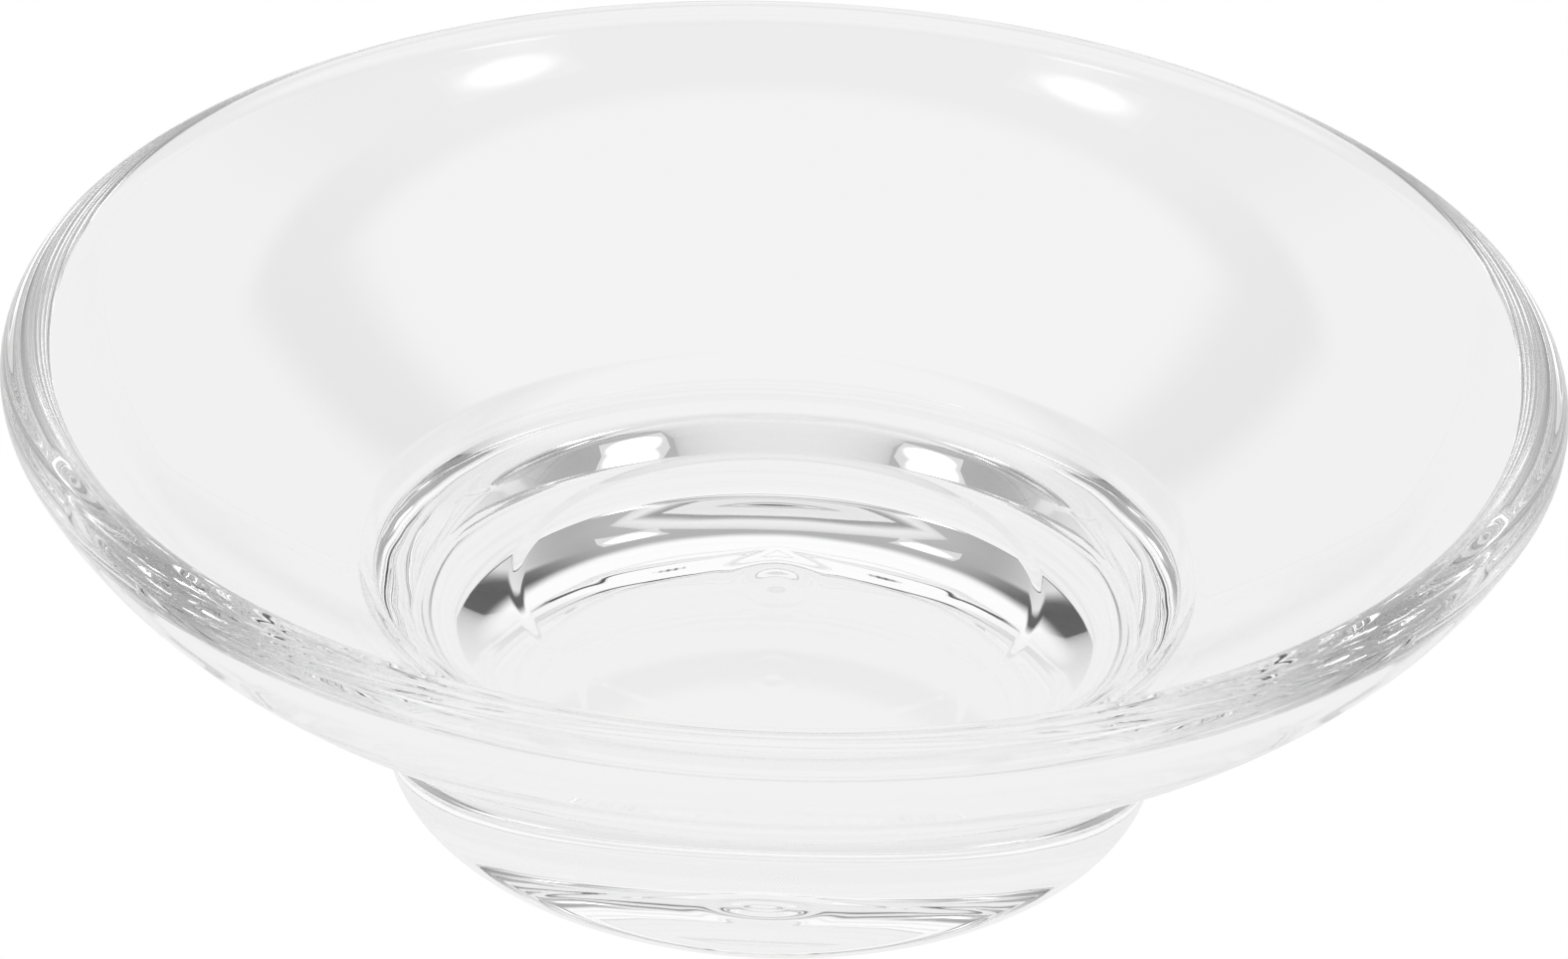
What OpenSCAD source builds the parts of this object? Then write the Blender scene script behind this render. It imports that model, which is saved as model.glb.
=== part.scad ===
// Footed dish of clear pressed glass, sold as a watch glass.
// It is one pressing: a rounded rim, a flared bowl, a shallow well and a round foot, hollow underneath.
// Millimetres. Origin at the centre of the resting face, +Z up along the axis of revolution.
// Each piece is turned from an outline drawn in the X-Z plane: X is the radius, Y the height.

/* [Bowl] */
// Outside diameter of the rounded rim
rim_d = 110; // [106:1:114]
// Height from the resting face to the top of the rim
height = 35.5; // [34.5:0.1:37]
// Thickness of the bowl wall, which is also the thickness of the rounded rim
wall_t = 4; // [3.6:0.1:4.4]
// Slope where the bowl turns up into the rim, in degrees from level
slope_mid = 34.8; // [34:0.2:36]
// Slope of the wall just under the rounded rim, in degrees from level
slope_rim = 63; // [60:0.5:66]
// Radius of the bend under the rim, at mid wall
bend_r = 25.7; // [24:0.1:27.5]

/* [Well] */
// Radius of the level floor of the well
floor_r = 23.5; // [21:0.5:24.5]
// Height of the well floor above the resting face
floor_z = 15; // [14:0.5:16]

/* [Foot] */
// Outside diameter of the foot, just above its rounded lower edge
foot_d = 56; // [55.5:0.5:57]
// Radius of the rounded lower edge of the foot
foot_edge_r = 3.2; // [2.4:0.2:3.6]
// Angle by which the foot widens upwards, in degrees from upright
foot_flare = 13; // [8:1:15]
// Radius of the hollow corner between the foot and the bowl
corner_r = 1.5; // [1:0.25:2]
// Height of the mould line where the foot meets the well
foot_h = 7.5; // [7.3:0.1:8.3]
// Radius of the hollow under the foot, at the resting face
hollow_r = 23.5; // [21:0.5:23.5]
// Depth of the hollow under the foot
hollow_depth = 4; // [3:0.2:4.6]

/* [Look] */
// Colour of the glass
glass_color = "#e8f0ee"; // ["#e8f0ee":Clear, "#cfe3da":Green tint]
// Opacity of the glass in the preview
glass_alpha = 0.35; // [0.2:0.05:1]

/* [Hidden] */
$fn = 180;
// Length of the lines that trim a ring to its sector
reach = 200;
half_t = wall_t / 2;

// The point at distance len from p, in the direction turned ang degrees up from outward
function step(p, len, ang) = [p[0] + len * cos(ang), p[1] + len * sin(ang)];

// Rim: the wall ends in a full round, and the bend below it is tangent to that round and to the bowl
lip_c = [rim_d / 2 - half_t, height - half_t];
bend_c = step(lip_c, bend_r, slope_rim + 90);

// Bowl: a zone of a sphere centred on the axis
bowl_r = bend_r + bend_c[0] / sin(slope_mid);
bowl_c = [0, bend_c[1] + (bowl_r - bend_r) * cos(slope_mid)];

// Foot: its wall leaves the rounded lower edge and widens upwards
foot_edge_c = [foot_d / 2 - foot_edge_r, foot_edge_r];
foot_wall_lo = step(foot_edge_c, foot_edge_r, -foot_flare);
function foot_wall_r(z) = foot_wall_lo[0] + (z - foot_wall_lo[1]) * tan(foot_flare);

// Corner: a circle that touches the foot wall and the outside of the bowl
corner_a = step(foot_wall_lo, corner_r, -foot_flare) - bowl_c;
corner_dir = [sin(foot_flare), cos(foot_flare)];
corner_m = corner_a * corner_dir;
corner_gap = bowl_r + half_t + corner_r;
corner_len = -corner_m - sqrt(corner_m * corner_m - corner_a * corner_a + corner_gap * corner_gap);
corner_c = bowl_c + corner_a + corner_len * corner_dir;
slope_low = atan2(corner_c[0], bowl_c[1] - corner_c[1]);

// Well: its edge lies straight across the wall from the end of the corner.
// Its side is a curve tangent to the floor that rises to that edge.
edge_out = step(bowl_c, bowl_r + half_t, slope_low - 90);
edge_in = step(bowl_c, bowl_r - half_t, slope_low - 90);
well_rise = edge_in[1] - floor_z;
well_run = edge_in[0] - floor_r;
well_r = (well_run * well_run + well_rise * well_rise) / (2 * well_rise);

// Hollow under the foot: a shallow spherical dome
dome_r = (hollow_r * hollow_r + hollow_depth * hollow_depth) / (2 * hollow_depth);

// The part of a wall of mid radius r about c that lies between slopes lo and hi
module wall_sector(c, r, lo, hi) {
  intersection() {
    difference() {
      translate(c) circle(r = r + half_t);
      translate(c) circle(r = r - half_t);
    }
    polygon([c, step(c, reach, lo - 90), step(c, reach, hi - 90)]);
  }
}

// Rounded lip on an upturned band
module rim() {
  color(glass_color, glass_alpha)
  rotate_extrude() {
    translate(lip_c) rotate(slope_rim + 180) circle(r = half_t);
    wall_sector(bend_c, bend_r, slope_mid, slope_rim);
  }
}

// Flared wall between the upturned band and the edge of the well
module bowl() {
  color(glass_color, glass_alpha)
  rotate_extrude() wall_sector(bowl_c, bowl_r, slope_low, slope_mid);
}

// Thick middle of the dish: the well above, the top of the foot and its corner with the bowl below
module well() {
  color(glass_color, glass_alpha)
  rotate_extrude() {
    difference() {
      polygon([
        [0, foot_h],
        [foot_wall_r(foot_h), foot_h],
        step(corner_c, corner_r, 180 - foot_flare),
        corner_c,
        edge_out,
        edge_in,
        [0, edge_in[1]]
      ]);
      translate(corner_c) circle(r = corner_r);
      translate([0, floor_z]) square([floor_r, well_r]);
      intersection() {
        translate([floor_r, floor_z + well_r]) circle(r = well_r);
        square([reach, reach]);
      }
    }
  }
}

// Round foot with a rounded lower edge and a shallow hollow underneath
module foot() {
  color(glass_color, glass_alpha)
  rotate_extrude() {
    difference() {
      union() {
        polygon([
          [0, 0],
          [foot_edge_c[0], 0],
          foot_edge_c,
          foot_wall_lo,
          [foot_wall_r(foot_h), foot_h],
          [0, foot_h]
        ]);
        translate(foot_edge_c) circle(r = foot_edge_r);
      }
      intersection() {
        translate([0, hollow_depth - dome_r]) circle(r = dome_r);
        square([hollow_r, hollow_depth]);
      }
    }
  }
}

rim();
bowl();
well();
foot();
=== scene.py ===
import math
import bmesh
import bpy
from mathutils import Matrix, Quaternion, Vector, noise


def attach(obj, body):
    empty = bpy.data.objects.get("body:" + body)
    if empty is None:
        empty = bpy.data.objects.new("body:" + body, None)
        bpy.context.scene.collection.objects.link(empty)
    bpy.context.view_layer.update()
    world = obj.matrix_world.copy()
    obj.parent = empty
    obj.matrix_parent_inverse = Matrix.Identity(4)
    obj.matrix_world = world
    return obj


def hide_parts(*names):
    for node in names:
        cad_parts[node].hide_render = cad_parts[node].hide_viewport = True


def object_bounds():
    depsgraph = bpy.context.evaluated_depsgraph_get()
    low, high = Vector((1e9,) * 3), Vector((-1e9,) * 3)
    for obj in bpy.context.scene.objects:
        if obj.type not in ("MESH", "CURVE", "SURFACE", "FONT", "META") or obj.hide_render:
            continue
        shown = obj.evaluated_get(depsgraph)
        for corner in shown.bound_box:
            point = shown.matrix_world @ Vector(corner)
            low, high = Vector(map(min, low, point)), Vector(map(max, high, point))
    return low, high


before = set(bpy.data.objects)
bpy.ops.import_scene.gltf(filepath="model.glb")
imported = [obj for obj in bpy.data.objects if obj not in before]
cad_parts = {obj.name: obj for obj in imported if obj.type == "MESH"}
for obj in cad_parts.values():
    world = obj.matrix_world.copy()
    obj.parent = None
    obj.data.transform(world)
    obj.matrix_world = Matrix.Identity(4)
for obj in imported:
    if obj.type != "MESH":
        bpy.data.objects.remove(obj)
CAD_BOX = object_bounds()

MM = 0.001
LOW, HIGH = CAD_BOX
RIM_R = (HIGH[0] - LOW[0]) / 2 / MM
HEIGHT = HIGH[2] / MM

# The section of the dish, in millimetres and degrees, as in part.scad
HALF_T = 2.0
SLOPE_MID = 34.8
SLOPE_RIM = 63.0
BEND_R = 25.7
FLOOR_R = 23.5
FLOOR_Z = 15.0
FOOT_R = 28.0
FOOT_EDGE_R = 3.2
FOOT_FLARE = 13.0
CORNER_R = 1.5
HOLLOW_R = 23.5
HOLLOW_DEPTH = 4.0

# Small bevels that the CAD leaves out: at the mouth of the hollow and on the edge of the well
HOLLOW_BEVEL = 0.2
HOLLOW_BEVEL_H = 0.05
WELL_EDGE_ROUND = 0.35

# Marks of the pressing, in millimetres. A disc sunk in the floor, with a ramp at its edge
DISC_R = 18.7
DISC_STEP = 0.15
DISC_RAMP = 0.8
# The plunger's mark: ripples round the middle of the floor, their length and how fast they fade
MARK = 0.07
MARK_LENGTH = 2.4
MARK_FADE = 2.8
# A faint fold behind the mark: a ridge bent to a point, from side to side of the floor
FOLD = 0.03
FOLD_HALF = 14.0
FOLD_Y = -0.6
FOLD_RISE = 5.6
FOLD_BEND = 1.4
FOLD_WIDTH = 0.7
# Waves on the side of the well, up to a height above its floor, and on the foot, between two heights
SIDE_WAVE = 0.03
SIDE_WAVE_R = 29.0
SIDE_WAVE_H = 3.2
SIDE_WAVE_SCALE = 0.3
FOOT_WAVE = 0.03
FOOT_WAVE_LOW = 1.0
FOOT_WAVE_HIGH = 8.0
FOOT_WAVE_SCALE = 0.25

# Mesh resolution: segments round the axis, twice as many outside FINE_FROM, and steps along the outline
SEGMENTS = 360
FINE_FROM = 31.0
HOLLOW_STEPS = 12
FOOT_EDGE_STEPS = 12
CORNER_STEPS = 8
BOWL_STEPS = 11
BEND_OUTER_STEPS = 13
BEND_INNER_STEPS = 14
LIP_STEPS = 28
WELL_STEPS = 20
WELL_EDGE_STEPS = 6
# Rings of the floor: from each radius inwards, the widest gap between two rings
FLOOR_RINGS = ((FLOOR_R, 1.5), (DISC_R + 0.6, 0.2), (DISC_R - 0.6, 0.7), (14, 0.5), (6, 0.3), (0, 0))

# The glass
TINT = 0.995
IOR = 1.5
BOUNCES = 96

# The studio dome: strengths of light as the glass sees them, and where they change, in degrees. Behind
# the dish are a backdrop, a dark gap above it and the bright top; the sides and the front are darker
BACKDROP = 0.84
BACKDROP_TOP = 37
GAP = 0.02
GAP_TOP = 50
TOP = 1.0
SIDES = 0.2
SIDES_FROM = 92
FRONT = 0.4
FRONT_FROM = 106
FRONT_LOW = 0.2
FRONT_LOW_TOP = 20
SOFT = 3.0
SIDE_SOFT = 28.0
TOP_SOFT = 4.0

# The floor: bright near the dish, darker at the sides and in front (metres and degrees)
FLOOR_SIZE = 3.0
FLOOR_CORNERS = 96
FLOOR_DROP = 1e-4
FLOOR_NEAR = 0.89
FLOOR_NEAR_R = 0.3
FLOOR_NEAR_SOFT = 0.1
FLOOR_FAR = 0.84
FLOOR_SIDES = 0.25
FLOOR_SIDES_FROM = 60
FLOOR_FRONT = 0.25
FLOOR_FRONT_FROM = 120
FLOOR_SOFT = 12

# The two softboxes: light at the middle and at the edge, place, size, and the fade between the two
BOX_LIGHT = 3.5
BOX_EDGE_LIGHT = 0.7
BOX_AZ = 51
BOX_EL = 35
BOX_DIST = 1.2
BOX_R = 0.12
BOX_STRETCH = 1.7
BOX_FADE_AT = 0.65
BOX_FADE = 0.3

# The camera, in radii of the rim, degrees and millimetres
DISTANCE = 9.0
ELEVATION = 32.198
AIM = (0.004, 0.0, 0.430)
ROLL = 2.294
SENSOR = 36
LENS = 155.84162


def step(p, length, ang):
    """The point at a length from p, at an angle in degrees."""
    a = math.radians(ang)
    return (p[0] + length * math.cos(a), p[1] + length * math.sin(a))


def arc(c, r, a0, a1, n):
    """The n + 1 points of an arc round c, from angle a0 to angle a1."""
    return [step(c, r, a0 + (a1 - a0) * k / n) for k in range(n + 1)]


def rounded_corner(pts, corner, reach, n):
    """pts with the corner replaced by a bend of n steps that starts and ends reach away from it."""
    j = min(range(len(pts)), key=lambda k: math.dist(pts[k], corner))
    a = b = j
    while math.dist(pts[a], corner) < reach:
        a -= 1
    while math.dist(pts[b], corner) < reach:
        b += 1

    def at(p):
        t = reach / math.dist(p, corner)
        return (corner[0] + (p[0] - corner[0]) * t, corner[1] + (p[1] - corner[1]) * t)

    pa, pb = at(pts[a]), at(pts[b])
    bend = []
    for k in range(n + 1):
        s = k / n
        w = ((1 - s) ** 2, 2 * s * (1 - s), s * s)
        bend.append(tuple(w[0] * pa[i] + w[1] * corner[i] + w[2] * pb[i] for i in (0, 1)))
    return pts[: a + 1] + bend + pts[b:]


def foot_corner(edge, bowl, bowl_r):
    """The centre of the circle that touches the wall of the foot and the outside of the bowl."""
    wall = step(edge, FOOT_EDGE_R, -FOOT_FLARE)
    start = step(wall, CORNER_R, -FOOT_FLARE)
    a = (start[0] - bowl[0], start[1] - bowl[1])
    d = (math.sin(math.radians(FOOT_FLARE)), math.cos(math.radians(FOOT_FLARE)))
    m = a[0] * d[0] + a[1] * d[1]
    reach = bowl_r + HALF_T + CORNER_R
    run = -m - math.sqrt(m * m - a[0] ** 2 - a[1] ** 2 + reach * reach)
    return (bowl[0] + a[0] + run * d[0], bowl[1] + a[1] + run * d[1])


def section():
    """The closed outline: from the axis out under the foot, up round the rim and down into the well."""
    lip = (RIM_R - HALF_T, HEIGHT - HALF_T)
    bend = step(lip, BEND_R, SLOPE_RIM + 90)
    bowl_r = BEND_R + bend[0] / math.sin(math.radians(SLOPE_MID))
    bowl = (0, bend[1] + (bowl_r - BEND_R) * math.cos(math.radians(SLOPE_MID)))
    edge = (FOOT_R - FOOT_EDGE_R, FOOT_EDGE_R)
    corner = foot_corner(edge, bowl, bowl_r)
    low = math.degrees(math.atan2(corner[0], bowl[1] - corner[1]))

    outer = []
    dome = (HOLLOW_R ** 2 + HOLLOW_DEPTH ** 2) / (2 * HOLLOW_DEPTH)
    for k in range(HOLLOW_STEPS):
        r = HOLLOW_R * k / HOLLOW_STEPS
        outer.append((r, HOLLOW_DEPTH - dome + math.sqrt(dome * dome - r * r)))
    outer += [(HOLLOW_R, HOLLOW_BEVEL_H), (HOLLOW_R + HOLLOW_BEVEL, 0.0)]
    outer += arc(edge, FOOT_EDGE_R, -90, -FOOT_FLARE, FOOT_EDGE_STEPS)
    outer += arc(corner, CORNER_R, 180 - FOOT_FLARE, low + 90, CORNER_STEPS)
    outer += arc(bowl, bowl_r + HALF_T, low - 90, SLOPE_MID - 90, BOWL_STEPS)[1:]
    outer += arc(bend, BEND_R + HALF_T, SLOPE_MID - 90, SLOPE_RIM - 90, BEND_OUTER_STEPS)[1:]
    outer += arc(lip, HALF_T, SLOPE_RIM - 90, SLOPE_RIM + 90, LIP_STEPS)[1:]

    inner = arc(bend, BEND_R - HALF_T, SLOPE_RIM - 90, SLOPE_MID - 90, BEND_INNER_STEPS)[1:]
    inner += arc(bowl, bowl_r - HALF_T, SLOPE_MID - 90, low - 90, BOWL_STEPS)[1:]
    well_edge = inner[-1]
    rise, across = well_edge[1] - FLOOR_Z, well_edge[0] - FLOOR_R
    well_r = (across * across + rise * rise) / (2 * rise)
    top = math.degrees(math.asin(across / well_r))
    inner += arc((FLOOR_R, FLOOR_Z + well_r), well_r, top - 90, -90, WELL_STEPS)[1:]
    for (r0, gap), (r1, _) in zip(FLOOR_RINGS, FLOOR_RINGS[1:]):
        n = math.ceil((r0 - r1) / gap)
        inner += [(r0 + (r1 - r0) * k / n, FLOOR_Z) for k in range(1, n + 1)]
    return outer + rounded_corner(inner, well_edge, WELL_EDGE_ROUND, WELL_EDGE_STEPS)


def pressing(r, z, t):
    """The marks of the pressing: how far a point of the turned shape is moved in radius and height."""
    x, y = r * math.cos(t), r * math.sin(t)
    if r < FLOOR_R and z == FLOOR_Z:
        mark = MARK * math.cos(2 * math.pi * r / MARK_LENGTH) * math.exp(-(r / MARK_FADE) ** 2)
        sunk = -DISC_STEP * min(1, max(0, (DISC_R + DISC_RAMP / 2 - r) / DISC_RAMP))
        along = min(1, abs(x) / FOLD_HALF)
        ridge = (y - FOLD_Y - FOLD_RISE * (1 - along) ** FOLD_BEND) / FOLD_WIDTH
        fold = FOLD * math.exp(-ridge ** 2) * (1 - along ** 4)
        return 0, mark + fold + sunk
    if FLOOR_R <= r < SIDE_WAVE_R and FLOOR_Z < z < FLOOR_Z + SIDE_WAVE_H:
        fade = math.sin(math.pi * (z - FLOOR_Z) / SIDE_WAVE_H)
        return 0, SIDE_WAVE * fade * noise.noise(Vector((x, y, z)) * SIDE_WAVE_SCALE)
    if r > HOLLOW_R and FOOT_WAVE_LOW < z < FOOT_WAVE_HIGH:
        fade = math.sin(math.pi * (z - FOOT_WAVE_LOW) / (FOOT_WAVE_HIGH - FOOT_WAVE_LOW))
        return FOOT_WAVE * fade * noise.noise(Vector((x, y, z)) * FOOT_WAVE_SCALE), 0
    return 0, 0


def new_object(name, verts, faces, mat):
    mesh = bpy.data.meshes.new(name)
    mesh.from_pydata(verts, [], faces)
    mesh.materials.append(mat)
    obj = bpy.data.objects.new(name, mesh)
    bpy.context.scene.collection.objects.link(obj)
    return obj


def span(ring, k, parts):
    """The points of part k when a ring is split into equal parts, with the first point of the next."""
    m = len(ring) // parts
    return [ring[(k * m + i) % len(ring)] for i in range(m + 1)]


def lathe(name, pts, shift, mat):
    """A smooth object turned from pts round the axis. shift(r, z, angle) moves a point in r and z."""
    verts, rings, faces = [], [], []
    for r, z in pts:
        count = 1 if r < 1e-6 else SEGMENTS * 2 if r > FINE_FROM else SEGMENTS
        rings.append(range(len(verts), len(verts) + count))
        for k in range(count):
            t = 2 * math.pi * k / count
            dr, dz = shift(r, z, t)
            verts.append(((r + dr) * math.cos(t) * MM, (r + dr) * math.sin(t) * MM, (z + dz) * MM))
    for a, b in zip(rings, rings[1:]):
        few, many = sorted((len(a), len(b)))
        parts = few if few > 1 else many
        for k in range(parts):
            faces.append(span(a, k, parts) + span(b, k, parts)[::-1])
    obj = new_object(name, verts, faces, mat)
    bm = bmesh.new()
    bm.from_mesh(obj.data)
    bmesh.ops.recalc_face_normals(bm, faces=bm.faces)
    bm.to_mesh(obj.data)
    bm.free()
    for p in obj.data.polygons:
        p.use_smooth = True
    return obj


def glass(name):
    mat = bpy.data.materials.new(name)
    mat.use_nodes = True
    bsdf = mat.node_tree.nodes["Principled BSDF"]
    bsdf.inputs["Transmission Weight"].default_value = 1.0
    bsdf.inputs["Roughness"].default_value = 0.0
    bsdf.inputs["IOR"].default_value = IOR
    bsdf.inputs["Base Color"].default_value = (TINT, TINT, TINT, 1)
    return mat


def emitter(name, verts, faces):
    """A staged object that glows; returned with its node tree and the socket of its strength."""
    mat = bpy.data.materials.new(name)
    mat.use_nodes = True
    tree = mat.node_tree
    tree.nodes.clear()
    emission = tree.nodes.new("ShaderNodeEmission")
    out = tree.nodes.new("ShaderNodeOutputMaterial")
    tree.links.new(emission.outputs["Emission"], out.inputs["Surface"])
    obj = new_object(name, verts, faces, mat)
    return obj, tree, emission.inputs["Strength"]


def node(tree, kind, *inputs):
    """A new node; its first inputs are the sockets or numbers given, None leaves one as it is."""
    new = tree.nodes.new(kind)
    for socket, value in zip(new.inputs, inputs):
        if isinstance(value, bpy.types.NodeSocket):
            tree.links.new(value, socket)
        elif value is not None:
            socket.default_value = value
    return new


def maths(tree, operation, a, b=0.0):
    new = node(tree, "ShaderNodeMath", a, b)
    new.operation = operation
    return new.outputs["Value"]


def coordinates(tree, kind):
    """The X, Y and Z of a texture coordinate."""
    where = tree.nodes.new("ShaderNodeTexCoord")
    split = node(tree, "ShaderNodeSeparateXYZ", where.outputs[kind])
    return split.outputs["X"], split.outputs["Y"], split.outputs["Z"]


def rises(tree, value, at, soft):
    """0 below at, 1 above it, with a soft edge."""
    new = node(tree, "ShaderNodeMapRange", value, at - soft, at + soft)
    new.interpolation_type = "SMOOTHSTEP"
    return new.outputs["Result"]


def blend(tree, mask, off, on):
    return node(tree, "ShaderNodeMix", mask, None, off, on).outputs["Result"]


def lit(tree, seen, other):
    """A strength that shows as seen to the camera and lights the glass as other says."""
    path = tree.nodes.new("ShaderNodeLightPath")
    return blend(tree, path.outputs["Is Camera Ray"], other, seen)


def degrees(tree, radians):
    return maths(tree, "MULTIPLY", radians, 180 / math.pi)


def aside(tree, x, y):
    """The angle from the far side, in degrees, the same to the left and to the right."""
    return maths(tree, "ABSOLUTE", degrees(tree, maths(tree, "ARCTAN2", x, y)))


def studio_floor():
    rim = [step((0, 0), FLOOR_SIZE, 360 * k / FLOOR_CORNERS) for k in range(FLOOR_CORNERS)]
    disc = [(x, y, -FLOOR_DROP) for x, y in [(0, 0)] + rim]
    faces = [(0, 1 + k, 1 + (k + 1) % FLOOR_CORNERS) for k in range(FLOOR_CORNERS)]
    _, tree, strength = emitter("floor", disc, faces)
    x, y, _ = coordinates(tree, "Object")
    turn = aside(tree, x, y)
    squares = maths(tree, "ADD", maths(tree, "MULTIPLY", x, x), maths(tree, "MULTIPLY", y, y))
    away = maths(tree, "SQRT", squares)
    outer = blend(tree, rises(tree, turn, FLOOR_SIDES_FROM, FLOOR_SOFT), FLOOR_FAR, FLOOR_SIDES)
    outer = blend(tree, rises(tree, turn, FLOOR_FRONT_FROM, FLOOR_SOFT), outer, FLOOR_FRONT)
    light = blend(tree, rises(tree, away, FLOOR_NEAR_R, FLOOR_NEAR_SOFT), FLOOR_NEAR, outer)
    tree.links.new(lit(tree, 1.0, light), strength)


def softbox(side):
    """A softbox on the left (-1) or the right (1), turned to the dish and unseen by the camera."""
    az, el = math.radians(BOX_AZ), math.radians(BOX_EL)
    towards = Vector((side * math.sin(az) * math.cos(el), -math.cos(az) * math.cos(el), math.sin(el)))
    corners = [(a * BOX_R, b * BOX_R, 0) for a, b in ((-1, -1), (1, -1), (1, 1), (-1, 1))]
    box, tree, strength = emitter("softbox", corners, [(0, 1, 2, 3)])
    box.location = towards * BOX_DIST
    box.rotation_euler = (-towards).to_track_quat("Z", "Y").to_euler()
    box.scale = (BOX_STRETCH, 1, 1)
    box.visible_camera = False
    where = tree.nodes.new("ShaderNodeTexCoord")
    off = node(tree, "ShaderNodeVectorMath", where.outputs["Object"])
    off.operation = "LENGTH"
    edge = rises(tree, off.outputs["Value"], BOX_R * BOX_FADE_AT, BOX_R * BOX_FADE)
    tree.links.new(blend(tree, edge, BOX_LIGHT, BOX_EDGE_LIGHT), strength)


def studio_dome():
    world = bpy.data.worlds.new("studio")
    world.use_nodes = True
    tree = world.node_tree
    x, y, z = coordinates(tree, "Generated")
    up = degrees(tree, maths(tree, "ARCSINE", z))
    turn = aside(tree, x, y)
    back = blend(tree, rises(tree, up, BACKDROP_TOP, SOFT), BACKDROP, GAP)
    front = blend(tree, rises(tree, up, FRONT_LOW_TOP, SOFT), FRONT_LOW, FRONT)
    light = blend(tree, rises(tree, turn, SIDES_FROM, SIDE_SOFT), back, SIDES)
    light = blend(tree, rises(tree, turn, FRONT_FROM, SIDE_SOFT), light, front)
    light = blend(tree, rises(tree, up, GAP_TOP, TOP_SOFT), light, TOP)
    background = tree.nodes["Background"]
    tree.links.new(lit(tree, 1.0, light), background.inputs["Strength"])
    background.inputs["Color"].default_value = (1, 1, 1, 1)
    return world


def photo_camera():
    """The camera, at the photograph's viewing angle."""
    unit = RIM_R * MM
    e = math.radians(ELEVATION)
    eye = Vector((0, -DISTANCE * math.cos(e), DISTANCE * math.sin(e))) * unit
    aim = Vector(AIM) * unit
    roll = Quaternion((0, 0, 1), math.radians(ROLL))
    lens = bpy.data.cameras.new("camera")
    lens.sensor_width = SENSOR
    lens.lens = LENS
    camera = bpy.data.objects.new("camera", lens)
    camera.location = eye
    camera.rotation_mode = "QUATERNION"
    camera.rotation_quaternion = (aim - eye).to_track_quat("-Z", "Y") @ roll
    bpy.context.scene.collection.objects.link(camera)
    return camera


# The dish: one pressing, so one piece stands for the four CAD nodes
dish = lathe("dish", section(), pressing, glass("clear_glass"))
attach(dish, "root")
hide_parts("rim", "bowl", "well", "foot")

# The camera sees the floor and the dome as white, and only the glass sees the studio
studio_floor()
for side in (-1, 1):
    softbox(side)

scene = bpy.context.scene
scene.world = studio_dome()
scene.view_settings.view_transform = "Standard"
scene.cycles.max_bounces = BOUNCES
scene.cycles.transmission_bounces = BOUNCES
scene.cycles.glossy_bounces = BOUNCES
scene.camera = photo_camera()
